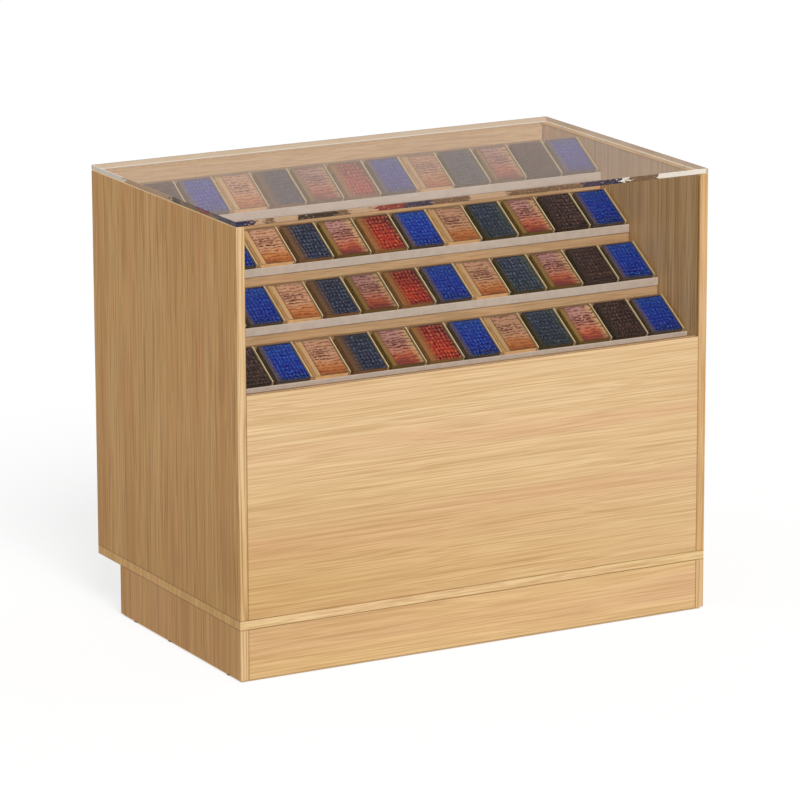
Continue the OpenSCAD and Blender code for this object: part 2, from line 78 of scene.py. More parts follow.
def paint(red: int, green: int, blue: int) -> Colour:
    """Turns a colour as seen on a screen into the linear colour of a shader.

    Args:
        red: Red, 0 to 255.
        green: Green, 0 to 255.
        blue: Blue, 0 to 255.

    Returns:
        The linear colour with full alpha.
    """

    def linear(channel: int) -> float:
        """Returns one channel in linear light."""
        c = channel / 255
        return c / 12.92 if c <= 0.04045 else ((c + 0.055) / 1.055) ** 2.4

    return (linear(red), linear(green), linear(blue), 1.0)


def dim(colour: Colour, share: float) -> Colour:
    """Returns a colour at a share of its brightness."""
    return (share * colour[0], share * colour[1], share * colour[2], 1.0)


def shades(*stops: tuple[float, int, int, int]) -> tuple[tuple[float, Colour], ...]:
    """Returns the stops of a ramp from places and colours as seen on a screen."""
    return tuple((place, paint(*rgb)) for place, *rgb in stops)


class Axis(Enum):
    """A direction of the cabinet's frame."""

    X = 0
    Y = 1
    Z = 2

    def stretch(self, along: float, across: float) -> tuple[float, ...]:
        """Returns a scale with one value along this axis and another across it."""
        return tuple(along if axis is self else across for axis in Axis)


class Shader:
    """The nodes of one material, or of the world."""

    def __init__(self, name: str, world: bool = False) -> None:
        """Starts an empty material or world.

        Args:
            name: Its name.
            world: Whether it is the world's.
        """
        self.owner = (bpy.data.worlds if world else bpy.data.materials).new(name)
        self.owner.use_nodes = True
        self.tree = self.owner.node_tree
        self.tree.nodes.clear()
        self.output = self.node("OutputWorld" if world else "OutputMaterial")

    def put(self, target: Socket, value: Any) -> None:
        """Links a socket to an input, or sets the input to a plain value.

        Args:
            target: The input.
            value: The socket or the plain value.
        """
        if isinstance(value, bpy.types.NodeSocket):
            self.tree.links.new(value, target)
        else:
            target.default_value = value

    def node(self, kind: str, inputs: dict[int | str, Any] | None = None, **settings: Any) -> bpy.types.Node:
        """Adds a node.

        Args:
            kind: The node's type name without its ShaderNode prefix.
            inputs: Values or sockets by input name or number.
            **settings: Properties of the node itself.

        Returns:
            The new node.
        """
        node = self.tree.nodes.new("ShaderNode" + kind)
        for key, value in settings.items():
            setattr(node, key, value)
        for key, value in (inputs or {}).items():
            self.put(node.inputs[key], value)
        return node

    def add(self, kind: str, inputs: dict[int | str, Any] | None = None, **settings: Any) -> Socket:
        """Adds a node and returns its first output."""
        return self.node(kind, inputs, **settings).outputs[0]

    def math(self, operation: str, *values: Any, clamp: bool = False) -> Socket:
        """Returns the result of one Math node on one to three values."""
        return self.add("Math", dict(enumerate(values)), operation=operation, use_clamp=clamp)

    def plus(self, one: Any, other: Any) -> Socket:
        """Returns a sum."""
        return self.math("ADD", one, other)

    def times(self, one: Any, other: Any) -> Socket:
        """Returns a product."""
        return self.math("MULTIPLY", one, other)

    def most(self, one: Any, other: Any) -> Socket:
        """Returns the larger of two values."""
        return self.math("MAXIMUM", one, other)

    def past(self, value: Any, limit: float) -> Socket:
        """Returns 1 where a value is past a limit, and 0 elsewhere."""
        return self.math("GREATER_THAN", value, limit)

    def size(self, value: Any) -> Socket:
        """Returns a value without its sign."""
        return self.math("ABSOLUTE", value)

    def apart(self, one: Any, other: Any) -> Socket:
        """Returns how far two values are apart."""
        return self.size(self.math("SUBTRACT", one, other))

    def blend(self, factor: Any, low: Any, high: Any, way: str = "MIX") -> Socket:
        """Returns a colour between two, by a factor."""
        return self.node("Mix", {0: factor, 6: low, 7: high}, data_type="RGBA", blend_type=way).outputs[2]

    def spread(self, value: Any, low: float, high: float, least: float = 0.0, most: float = 1.0) -> Socket:
        """Returns a value mapped from one range to another, held at its ends."""
        return self.add("MapRange", {0: value, 1: low, 2: high, 3: least, 4: most})

    def layer(self, colour: Any, tone: Any, value: Any, *reach: float) -> Socket:
        """Returns a colour with a tone laid over it where a value is within its reach, as spread has it."""
        return self.blend(self.spread(value, *reach), colour, tone)

    def place(self, vector: Socket, scale: Sequence[float], shift: Sequence[float] = (0, 0, 0)) -> Socket:
        """Returns coordinates scaled and then shifted by a Mapping node."""
        return self.add("Mapping", {"Vector": vector, "Location": tuple(shift), "Scale": tuple(scale)})

    def vector(self, *parts: tuple[Any, float]) -> Socket:
        """Returns a vector of values, each times its own factor."""
        return self.add("CombineXYZ", {i: self.times(*part) for i, part in enumerate(parts)})

    def ramp(self, value: Any, stops: Sequence[tuple[float, Colour]], way: str = "LINEAR") -> Socket:
        """Colours a value.

        Args:
            value: The value, 0 to 1.
            stops: Places and colours, in rising order.
            way: How one colour runs into the next.

        Returns:
            The colour.
        """
        node = self.node("ValToRGB", {0: value})
        node.color_ramp.interpolation = way
        elements = node.color_ramp.elements
        while len(elements) < len(stops):
            elements.new(0.5)
        for element, (place, colour) in zip(elements, stops):
            element.position, element.color = place, colour
        return node.outputs[0]

    def noise(self, vector: Socket, detail: float = 2.0, rough: float = 0.5) -> Socket:
        """Returns a noise value of scale 1 at the given coordinates."""
        return self.add("TexNoise", {"Vector": vector, "Scale": 1.0, "Detail": detail, "Roughness": rough})

    def coordinates(self, kind: str) -> Socket:
        """Returns Texture Coordinate's output of that name."""
        return self.node("TexCoord").outputs[kind]

    def split(self, kind: str) -> list[Socket]:
        """Returns the X, Y and Z of Texture Coordinate's output of that name."""
        return list(self.node("SeparateXYZ", {0: self.coordinates(kind)}).outputs)

    def bump(self, height: Socket, strength: float, distance: float) -> Socket:
        """Returns a normal bumped by a height."""
        return self.add("Bump", {"Strength": strength, "Distance": distance, "Height": height})

    def merge(self, share: Any, one: Socket, other: Socket) -> Socket:
        """Returns a surface between two, by a share."""
        return self.add("MixShader", {0: share, 1: one, 2: other})

    def seen(self) -> Socket:
        """Finds the rays that show what lies behind the object.

        Returns:
            1 for camera, glossy and transmission rays, and 0 for the rest.
        """
        path = self.node("LightPath").outputs
        shown = self.most(path["Is Camera Ray"], path["Is Glossy Ray"])
        return self.most(shown, path["Is Transmission Ray"])

    def finish(self, surface: Socket) -> Any:
        """Ends the nodes with this surface and returns the material or world."""
        self.put(self.output.inputs["Surface"], surface)
        return self.owner

    def skin(self, inputs: dict[str, Any]) -> bpy.types.Material:
        """Ends the material with a Principled surface of these inputs and returns it."""
        return self.finish(self.add("BsdfPrincipled", inputs))


@dataclass(frozen=True)
class Laminate:
    """Wood-look laminate on board: soft tone bands and fine broken lines along one axis.

    Faces that look along the grain have a grain axis of their own, as edge banding has. The tint in
    outer is painted shade: it multiplies the faces at the cabinet's two sides and its rear, past outer_at,
    which get less light. The tint in foot is painted shade too, and comes in towards the lower left. A
    length above 1 draws the figure out along the grain. Joints are planes where boards meet: the faces
    across them have a dark line there.
    """

    name: str
    grain: Axis
    ends: Axis
    light: Colour = paint(232, 196, 147)
    middle: Colour = paint(220, 181, 127)
    dark: Colour = paint(188, 144, 94)
    blush: Colour = paint(229, 186, 146)
    cap: Colour | None = None
    outer: Colour | None = None
    outer_at: tuple[float, float] = (0.51, 0.3)
    foot: Colour | None = None
    foot_z: tuple[float, float] = (0.44, 0.18)
    foot_x: tuple[float, float] = (0.5, -0.45)
    joints: tuple[tuple[Axis, float], ...] = ()
    joint_w: float = 0.9 * MM
    joint_shade: Colour = (0.62, 0.56, 0.45, 1.0)
    length: float = 1.0
    contrast: float = 1.0
    shift: tuple[float, float, float] = (0.0, 0.0, 0.0)
    band_scale: float = 20.0
    streak_scale: float = 120.0
    line_scale: float = 330.0
    line_depth: float = 0.6
    line_from: float = 0.47
    pore_scale: float = 560.0
    pore_depth: float = 0.45
    sway: float = 2.2 * MM
    seam_shade: float = 0.62

    def material(self) -> bpy.types.Material:
        """Builds the laminate's material.

        Returns:
            The material, which reads Object coordinates and the object's own normals.
        """
        s = Shader(self.name)
        facing, spot = s.split("Normal"), s.split("Object")
        looks = [s.size(part) for part in facing]
        lane = self._lane(s, spot, looks[self.grain.value])
        lines = self._grain(s, lane, 11.0, self.line_scale, 2.0, 5.1)
        colour = self._figure(s, lane, lines)
        if self.cap:
            colour = s.layer(colour, self.cap, facing[Axis.Z.value], 0.85, 0.95)
        colour = self._tint(s, colour, spot, looks)
        flat = s.most(s.most(looks[0], looks[1]), looks[2])
        return s.skin({
            "Base Color": s.layer(colour, dim(self.dark, 0.35), flat, 0.94, 0.985, self.seam_shade, 0.0),
            "Roughness": s.spread(lines, 0.3, 0.7, 0.42, 0.52),
            "Specular IOR Level": 0.3,
            "Normal": s.bump(s.spread(lines, 0.35, 0.7), 0.1, 0.2 * MM),
        })

    def _lane(self, s: Shader, spot: list[Socket], along: Socket) -> Socket:
        """Turns Object coordinates so that X runs along the grain of each face.

        Args:
            s: The material.
            spot: The Object coordinates.
            along: How far a face looks along the board's grain, 0 to 1.

        Returns:
            The coordinates, with a slight sway across the grain.
        """
        turned = [s.add("CombineXYZ", {i: spot[(axis.value + i) % 3] for i in range(3)})
                  for axis in (self.grain, self.ends)]
        pick = s.node("Mix", {0: s.past(along, 0.7), 4: turned[0], 5: turned[1]}, data_type="VECTOR")
        lane = s.place(pick.outputs[1], (1, 1, 1), self.shift)
        waver = s.noise(s.place(lane, (2.6, 14.0, 14.0), (1.7, 2.9, 4.3)), 1.0)
        sway = s.spread(waver, 0.3, 0.7, -self.sway, self.sway)
        return s.add("VectorMath", {0: lane, 1: s.add("CombineXYZ", {1: sway, 2: sway})}, operation="ADD")

    def _grain(self, s: Shader, lane: Socket, along: float, across: float, detail: float,
               shift: float = 0.0) -> Socket:
        """Returns noise drawn out along the grain."""
        return s.noise(s.place(lane, (along / self.length, across, across), (shift,) * 3), detail, 0.6)

    def _figure(self, s: Shader, lane: Socket, lines: Socket) -> Socket:
        """Lays blush, streaks, lines and pores over the soft bands.

        Args:
            s: The material.
            lane: Coordinates along the grain.
            lines: Noise of the fine lines.

        Returns:
            The colour.
        """
        bands = self._grain(s, lane, 1.1, self.band_scale, 2.0)
        blush = self._grain(s, lane, 2.4, self.band_scale * 0.8, 1.0, 3.7)
        streaks = self._grain(s, lane, 4.0, self.streak_scale, 3.0, 1.3)
        pores = self._grain(s, lane, 24.0, self.pore_scale, 1.0, 8.9)
        half = 0.2 / self.contrast
        colour = s.layer(self.middle, self.light, bands, 0.5 - half, 0.5 + half)
        for tone, value, *reach in (
            (self.blush, blush, 0.5, 0.68, 0.0, 0.7),
            (self.dark, streaks, 0.5, 0.72, 0.0, 0.5 * self.contrast),
            (self.light, streaks, 0.3, 0.46, 0.4 * self.contrast, 0.0),
            (self.dark, lines, self.line_from, 0.68, 0.0, self.line_depth * self.contrast),
            (self.dark, pores, 0.5, 0.72, 0.0, self.pore_depth),
        ):
            colour = s.layer(colour, tone, value, *reach)
        return colour

    def _tint(self, s: Shader, colour: Socket, spot: list[Socket], looks: list[Socket]) -> Socket:
        """Tints the colour by its place: the foot, the joints and the outer faces.

        Args:
            s: The material.
            colour: The colour.
            spot: The Object coordinates.
            looks: How far a face looks along each axis, 0 to 1.

        Returns:
            The tinted colour.
        """
        tints = []
        # Painted shade: the faces grow darker towards the floor and the left, where less light falls
        if self.foot:
            low, left = s.spread(spot[2], *self.foot_z), s.spread(spot[0], *self.foot_x, 0.3, 1.0)
            tints.append((s.times(low, left), self.foot))
        for axis, place in self.joints:
            off = s.apart(spot[axis.value], place)
            near = s.spread(off, self.joint_w, 1.5 * self.joint_w, 1.0, 0.0)
            crossing = s.spread(looks[axis.value], 0.6, 0.8, 1.0, 0.0)
            tints.append((s.times(near, crossing), self.joint_shade))
        # Painted shade: the outer faces at the sides and the rear are darkened where they get less light
        if self.outer:
            shares = [s.times(s.past(value, limit), s.spread(look, 0.85, 0.95))
                      for value, limit, look in zip((s.size(spot[0]), spot[1]), self.outer_at, looks)]
            tints.append((s.most(*shares), self.outer))
        for share, tint in tints:
            colour = s.blend(share, colour, tint, "MULTIPLY")
        return colour


# Painted shade: tints that darken the laminate's faces at the sides and at the rear, which get less of the
# warm light
TAWNY_SHADE: Colour = (1.0, 0.83, 0.52, 1.0)
HONEY_SHADE: Colour = (1.0, 0.9, 0.7, 1.0)


@dataclass(frozen=True)
class ClearGlass:
    """Clear float glass that mirrors more at a flat view and lets lamps through.

    An edge colour needs both rows of glints: the polished edge catches the colours of the goods, and the
    edge colour and the glints are painted reflections of them and of the boards. The glints, as places and
    colours, run from left to right on the front edge and from the rear to the front on the left edge. The
    rear and the right edge lie past reach, less rim, and are plain.
    """

    name: str
    tint: Colour = paint(252, 252, 250)
    sheen: Colour = paint(206, 190, 180)
    least: float = 0.04
    most: float = 0.58
    edge: Colour | None = None
    edge_share: float = 0.9
    front_glints: tuple[tuple[float, Colour], ...] = ()
    side_glints: tuple[tuple[float, Colour], ...] = ()
    reach: tuple[float, float] = (520 * MM, 315 * MM)
    ragged: float = 14 * MM
    rim: float = 5 * MM

    def material(self) -> bpy.types.Material:
        """Builds the glass.

        Returns:
            A mirroring clear sheet for the eye, and a plain clear one for lamps and soft light.
        """
        s = Shader(self.name)
        clear = s.add("BsdfTransparent", {"Color": self.tint})
        mirror = s.add("BsdfGlossy", {"Color": self.sheen, "Roughness": 0.0})
        facing = s.node("LayerWeight", {"Blend": 0.5}).outputs["Facing"]
        share = s.math("MULTIPLY_ADD", s.math("POWER", facing, 5.0), self.most - self.least, self.least)
        body = s.merge(share, clear, mirror)
        if self.edge:
            level = s.size(s.split("Normal")[Axis.Z.value])
            body = s.merge(s.spread(level, 0.85, 0.95, 1.0, 0.0), body, self._polish(s))
        path = s.node("LightPath").outputs
        return s.finish(s.merge(s.most(path["Is Shadow Ray"], path["Is Diffuse Ray"]), body, clear))

    def _polish(self, s: Shader) -> Socket:
        """Makes the half clear look of the ground and polished edge.

        Args:
            s: The material.

        Returns:
            The edge's surface.
        """
        spot = s.coordinates("Object")
        x, y, _ = s.split("Object")
        wide, deep = self.reach
        tear = s.noise(s.place(spot, (70.0, 70.0, 240.0)), 3.0)
        ragged = s.spread(tear, 0.3, 0.7, -self.ragged, self.ragged)
        # Painted reflections: bands of colour along the front and the left edge
        front = s.ramp(s.spread(s.plus(x, ragged), -wide, wide), self.front_glints, "CONSTANT")
        side = s.ramp(s.spread(s.plus(y, ragged), deep, -deep), self.side_glints, "CONSTANT")
        sideways = s.past(s.size(s.split("Normal")[0]), 0.7)
        plain = s.most(s.past(x, wide - self.rim), s.past(y, deep - self.rim))
        colour = s.blend(plain, s.blend(sideways, front, side), self.edge)
        fleck = s.noise(s.place(spot, (230.0, 230.0, 420.0), (3.0, 5.0, 7.0)), 2.0)
        colour = s.layer(colour, self.edge, fleck, 0.6, 0.7, 0.0, 0.5)
        cloud = s.noise(s.place(spot, (9.0, 9.0, 60.0)), 3.0)
        share = s.spread(cloud, 0.35, 0.65, self.edge_share * 0.9, self.edge_share * 1.1)
        clear = s.add("BsdfTransparent", {"Color": paint(236, 232, 222)})
        ground = s.add("BsdfPrincipled",
                       {"Base Color": colour, "Roughness": 0.3, "Specular IOR Level": 0.15})
        return s.merge(share, clear, ground)


@dataclass(frozen=True)
class Plastic:
    """Moulded or extruded plastic, or felt, with a faint mottle."""

    name: str
    colour: Colour
    roughness: float = 0.4
    clear: float = 0.0
    mottle: float = 0.12
    scale: float = 180.0

    def material(self) -> bpy.types.Material:
        """Builds the plastic.

        Returns:
            The material.
        """
        s = Shader(self.name)
        grain = s.noise(s.place(s.coordinates("Object"), (self.scale,) * 3), 3.0)
        return s.skin({
            "Base Color": s.layer(self.colour, dim(self.colour, 1 - self.mottle), grain, 0.35, 0.65),
            "Roughness": s.spread(grain, 0.3, 0.7, self.roughness * 0.85, self.roughness * 1.15),
            "Transmission Weight": self.clear,
            "Normal": s.bump(grain, 0.05, 0.2 * MM),
        })


@dataclass(frozen=True)
class Metal:
    """Bare or plated metal, brushed along one axis."""

    name: str
    colour: Colour
    brushed: Axis
    roughness: float = 0.3
    stain: float = 0.15

    def material(self) -> bpy.types.Material:
        """Builds the metal.

        Returns:
            The material.
        """
        s = Shader(self.name)
        spot = s.coordinates("Object")
        brush = s.noise(s.place(spot, self.brushed.stretch(40.0, 1800.0)), 3.0)
        cloud = s.noise(s.place(spot, (35.0,) * 3), 4.0)
        return s.skin({
            "Base Color": s.layer(self.colour, dim(self.colour, 1 - self.stain), cloud, 0.35, 0.65),
            "Metallic": 1.0,
            "Roughness": s.spread(brush, 0.3, 0.7, self.roughness * 0.8, self.roughness * 1.25),
            "Normal": s.bump(brush, 0.08, 0.1 * MM),
        })


class Layout(Enum):
    """How the small marks lie on a pack's front, with their counts across and along it."""

    GRID = (9.0, 10.0)
    ROWS = (11.0, 12.0)


class PackPart(Enum):
    """The parts of a pack that are printed differently, as values of its pack_part attribute."""

    FRONT = 0.0
    SIDE = 1.0
    END = 2.0


@dataclass(frozen=True)
class Front:
    """Where on which pack: across, along, the pack's own random value, and noise that bends the print."""

    u: Socket
    v: Socket
    tone: Socket
    cloud: Socket


@dataclass(frozen=True)
class CardPrint:
    """Generic print of one kind of pack, under clear film.

    The tones run from the pack's lower end to its upper end, each with its place from 0 to 1. The side
    tone, partly the colour of the gap beside the pack and partly painted shade, comes round onto the front
    as far as fade, and far is the tone near the other side. Rows have a denser block in the ink's colour,
    with its middle at block_at.
    """

    kind: str
    tones: tuple[tuple[float, Colour], ...]
    marks: Colour
    side: Colour
    layout: Layout = Layout.GRID
    ink: Colour = paint(96, 44, 44)
    far: Colour | None = None
    mark_share: float = 0.9
    level: float = 0.8
    fade: float = 0.2
    fade_share: float = 0.9
    # Brightness of the side faces: painted shade below 1, painted light above 1
    flank: float = 0.6
    depth: float = 0.34
    block_at: tuple[float, float] = (0.52, 0.58)

    @property
    def node(self) -> str:
        """The CAD node of the packs of this kind."""
        return f"packs_{self.kind}"

    def material(self) -> bpy.types.Material:
        """Builds the print.

        Returns:
            The material, which reads the packs' own UV map and attributes.
        """
        s = Shader(f"card_{self.kind}")
        u, v, _ = s.split("UV")
        tone, part = (s.node("Attribute", attribute_name=f"pack_{name}").outputs["Fac"]
                      for name in ("tone", "part"))
        cloud = s.noise(s.vector((u, 4.0), (v, 6.0), (tone, 37.0)), 3.0, 0.6)
        colour = s.ramp(s.plus(v, s.spread(cloud, 0.3, 0.7, -0.09, 0.09)), self.tones)
        if self.far:
            colour = s.layer(colour, self.far, s.plus(u, s.times(v, 0.12)), 0.78, 1.02, 0.0, 0.85)
        colour = self._edges(s, u, v, self._marked(s, Front(u, v, tone, cloud), colour))
        shade = s.spread(tone, 0.0, 1.0, 0.86 * self.level, 1.12 * self.level)
        colour = s.blend(1.0, colour, s.add("CombineColor", dict.fromkeys(range(3), shade)), "MULTIPLY")
        # The side faces at flank's brightness, painted shade below 1 and painted light above it, with
        # half-bright painted shade in patches
        flank, shaded = (dim(self.side, share * self.flank) for share in (1.0, 0.5))
        flank = s.layer(flank, shaded, cloud, 0.4, 0.7, 0.0, 0.4)
        film = s.noise(s.place(s.coordinates("Object"), (60.0, 110.0, 110.0)), 3.0)
        return s.skin({
            "Base Color": s.layer(colour, flank, part, 0.4, 0.6),
            "Roughness": 0.5,
            "Specular IOR Level": 0.08,
            "Coat Weight": 0.04,
            "Coat Roughness": 0.16,
            "Normal": s.bump(film, 0.3, 1.2 * MM),
        })

    def _marked(self, s: Shader, front: Front, colour: Socket) -> Socket:
        """Prints the small marks.

        Args:
            s: The material.
            front: The place on the pack.
            colour: The ground colour.

        Returns:
            The printed colour.
        """
        if self.layout is Layout.GRID:
            colour = s.blend(self._specks(s, front, 1.0), colour, self.marks)
            deep = dim(self.tones[len(self.tones) // 2][1], self.depth)
            return s.blend(self._specks(s, front, -1.0), colour, deep)
        rows = self.layout.value[1]
        colour = s.blend(self._rows(s, front, rows), colour, self.marks)
        across, along = (s.apart(at, middle) for at, middle in zip((front.u, front.v), self.block_at))
        block = s.times(s.spread(across, 0.26, 0.34, 1.6, 0.0), s.spread(along, 0.12, 0.17, 1.0, 0.0))
        dense = self._rows(s, front, rows * 1.2)
        return s.blend(s.math("MULTIPLY", dense, block, clamp=True), colour, self.ink)

    def _specks(self, s: Shader, front: Front, sign: float) -> Socket:
        """Makes a grid of specks.

        Args:
            s: The material.
            front: The place on the pack.
            sign: 1 for the specks themselves, -1 for the spots between them.

        Returns:
            0 off the specks, up to mark_share on them.
        """
        worn = s.noise(s.vector((front.u, 9.0), (front.v, 9.0), (front.tone, 53.0)), 2.0)
        waves = [s.math("SINE", s.plus(s.times(at, count * math.tau), s.spread(bend, 0.3, 0.7, -2.0, 2.0)))
                 for at, count, bend in zip((front.u, front.v), self.layout.value, (front.cloud, worn))]
        level = s.times(s.plus(*waves), sign)
        strength = s.times(s.spread(level, 0.1, 1.3), s.spread(worn, 0.36, 0.6, 0.25, 1.0))
        return s.times(strength, self.mark_share)

    def _rows(self, s: Shader, front: Front, count: float) -> Socket:
        """Makes rows of short dashes.

        Args:
            s: The material.
            front: The place on the pack.
            count: Rows on the length of the pack.

        Returns:
            0 between the dashes, up to mark_share on them.
        """
        rise = s.plus(s.times(front.v, count), s.spread(front.cloud, 0.3, 0.7, -0.4, 0.4))
        wave = s.math("SINE", s.times(rise, math.tau))
        lanes = s.vector((front.u, self.layout.value[0]), (s.math("FLOOR", rise), 1.7), (front.tone, 53.0))
        dashes = s.spread(s.noise(lanes, 2.0), 0.36, 0.52)
        return s.times(s.times(s.spread(wave, -0.1, 0.7), dashes), self.mark_share)

    def _edges(self, s: Shader, u: Socket, v: Socket, colour: Socket) -> Socket:
        """Brings the side tone round onto the front, with a crease, and draws the rim.

        Args:
            s: The material.
            u: Place across the pack.
            v: Place along the pack.
            colour: The printed colour.

        Returns:
            The colour with its edges. The dark rim is broadest at the upper end.
        """
        rows = self.layout is Layout.ROWS
        start = (0.8 if rows else 0.25) * self.fade
        # The side tone laid on the front is the gap beside the pack, partly its colour and partly painted
        # shade
        colour = s.layer(colour, self.side, u, start, self.fade, self.fade_share, 0.0)
        if rows:
            colour = s.layer(colour, self.ink, s.apart(u, self.fade), 0.008, 0.022, 0.7, 0.0)
        side = s.times(s.math("MINIMUM", u, s.math("SUBTRACT", 1.0, u)), 0.7)
        end = s.math("MINIMUM", v, s.times(s.math("SUBTRACT", 1.0, v), 0.45))
        return s.layer(colour, dim(self.side, 0.25), s.math("MINIMUM", side, end), 0.01, 0.02, 0.8, 0.0)


# Kinds of pack, each with its tones from the lower end to the upper end
PRINTS = (
    CardPrint("brown", shades((0.0, 30, 22, 24), (0.15, 54, 34, 32), (0.25, 96, 54, 38), (0.4, 52, 34, 38),
                             (1.0, 72, 38, 46)),
              paint(224, 160, 156), paint(84, 58, 42), level=0.19),
    CardPrint("blue", shades((0.0, 4, 16, 80), (0.2, 4, 24, 150), (0.6, 6, 42, 172), (0.9, 14, 62, 164),
                            (1.0, 12, 42, 116)),
              paint(48, 122, 236), paint(112, 92, 80), level=0.56),
    CardPrint("tan", shades((0.0, 166, 94, 50), (0.1, 200, 114, 56), (0.25, 218, 138, 80),
                           (0.45, 226, 168, 130), (1.0, 218, 164, 134)),
              paint(130, 62, 44), paint(226, 181, 128), Layout.ROWS, level=0.65, fade=0.17, flank=1.3,
              mark_share=0.76),
    CardPrint("navy", shades((0.0, 26, 40, 84), (0.3, 34, 44, 80), (0.7, 40, 50, 80), (1.0, 46, 46, 72)),
              paint(140, 154, 196), paint(168, 116, 72), level=0.34, fade=0.34),
    CardPrint("rose", shades((0.0, 116, 52, 46), (0.12, 164, 70, 54), (0.25, 212, 106, 66),
                            (0.45, 214, 142, 120), (0.8, 204, 152, 142), (1.0, 188, 134, 130)),
              paint(126, 56, 56), paint(150, 116, 54), Layout.ROWS, far=paint(228, 184, 128), level=0.64,
              fade=0.17),
    CardPrint("red", shades((0.0, 156, 30, 34), (0.2, 220, 50, 34), (0.45, 206, 44, 38), (0.8, 160, 28, 38),
                           (1.0, 130, 34, 46)),
              paint(255, 128, 80), paint(190, 134, 74), far=paint(84, 22, 40), level=0.44, fade=0.32,
              mark_share=1.0, depth=0.1),
    CardPrint("teal", shades((0.0, 36, 52, 50), (0.3, 38, 54, 76), (0.7, 44, 60, 94), (1.0, 50, 60, 96)),
              paint(140, 156, 188), paint(100, 84, 44), far=paint(84, 92, 60), level=0.33, fade=0.12),
)

# Order of the columns from left to right
COLUMN_KINDS = ("brown", "blue", "tan", "navy", "rose", "red",
                "blue", "tan", "teal", "rose", "brown", "blue")


class Bench:
    """Short names for modelling operations, as done by hand."""

    @staticmethod
    def clear_selection() -> None:
        """Deselects every object."""
        bpy.ops.object.select_all(action="DESELECT")

    @staticmethod
    def leave() -> None:
        """Leaves edit mode."""
        bpy.ops.object.mode_set(mode="OBJECT")

    @staticmethod
    def link(name: str, data: bpy.types.ID) -> bpy.types.Object:
        """Makes an object of some data and links it to the scene.

        Args:
            name: The new object's name.
            data: Its mesh, lamp or camera.

        Returns:
            The new object.
        """
        obj = bpy.data.objects.new(name, data)
        bpy.context.scene.collection.objects.link(obj)
        return obj

    @classmethod
    def pick(cls, obj: bpy.types.Object) -> None:
        """Selects one object alone and makes it active.

        Args:
            obj: The object.
        """
        cls.clear_selection()
        obj.select_set(True)
        bpy.context.view_layer.objects.active = obj

    @classmethod
    def block(cls, name: str, low: Vector, high: Vector) -> bpy.types.Object:
        """Adds a block between two corners with its place in its mesh.

        Args:
            name: The new object's name.
            low: Its lowest corner.
            high: Its highest corner.

        Returns:
            The new object.
        """
        cls.clear_selection()
        bpy.ops.mesh.primitive_cube_add(size=1.0, location=(low + high) / 2)
        obj = bpy.context.active_object
        obj.name = obj.data.name = name
        obj.scale = high - low
        bpy.ops.object.transform_apply(location=True, rotation=True, scale=True)
        return obj

    @classmethod
    def edit(cls, obj: bpy.types.Object, mode: str) -> None:
        """Enters edit mode on one object with nothing selected.

        Args:
            obj: The object.
            mode: VERT, EDGE or FACE.
        """
        cls.pick(obj)
        bpy.ops.object.mode_set(mode="EDIT")
        bpy.ops.mesh.select_mode(type=mode)
        bpy.ops.mesh.select_all(action="DESELECT")

    @classmethod
    def select_faces(cls, obj: bpy.types.Object, test: Callable[[bpy.types.MeshPolygon], bool]) -> None:
        """Selects faces, leaving and entering edit mode.

        Args:
            obj: The object.
            test: Tells whether a face is selected.
        """
        cls.leave()
        for face in obj.data.polygons:
            face.select = test(face)
        bpy.ops.object.mode_set(mode="EDIT")

    @classmethod
    def join(cls, name: str, objects: Sequence[bpy.types.Object]) -> bpy.types.Object:
        """Joins objects into the first one.

        Args:
            name: The name of the result.
            objects: The objects to join.

        Returns:
            The joined object.
        """
        cls.pick(objects[0])
        for obj in objects[1:]:
            obj.select_set(True)
        if len(objects) > 1:
            bpy.ops.object.join()
        objects[0].name = objects[0].data.name = name
        return objects[0]


class Dresser:
    """Gives finishes to the CAD nodes that stay."""

    def __init__(self, nodes: dict[str, bpy.types.Object]) -> None:
        """Keeps the frame's CAD nodes by name."""
        self.nodes = nodes

    def coat(self, finish: Laminate | ClearGlass | Plastic | Metal, *names: str, ease: float = 0.0) -> None:
        """Puts one finish on whole nodes.

        Args:
            finish: The finish.
            *names: The nodes.
            ease: Width that live modifiers take off the sharp edges, or 0.
        """
        material = finish.material()
        for name in names:
            slots = self.nodes[name].data.materials
            slots.clear()
            slots.append(material)
            LOG.info("%s has the finish %s", name, material.name)
            if ease:
                self._ease(self.nodes[name], ease)

    @staticmethod
    def _ease(obj: bpy.types.Object, width: float) -> None:
        """Softens the sharp edges of a node with live modifiers.

        Args:
            obj: The node's object.
            width: Width of the eased edges.
        """
        weld = obj.modifiers.new("weld", "WELD")
        weld.merge_threshold = 0.01 * MM
        bevel = obj.modifiers.new("eased edges", "BEVEL")
        bevel.width = width
        bevel.segments = 2
        bevel.limit_method = "ANGLE"
        bevel.angle_limit = EASED_ABOVE
        bevel.use_clamp_overlap = True


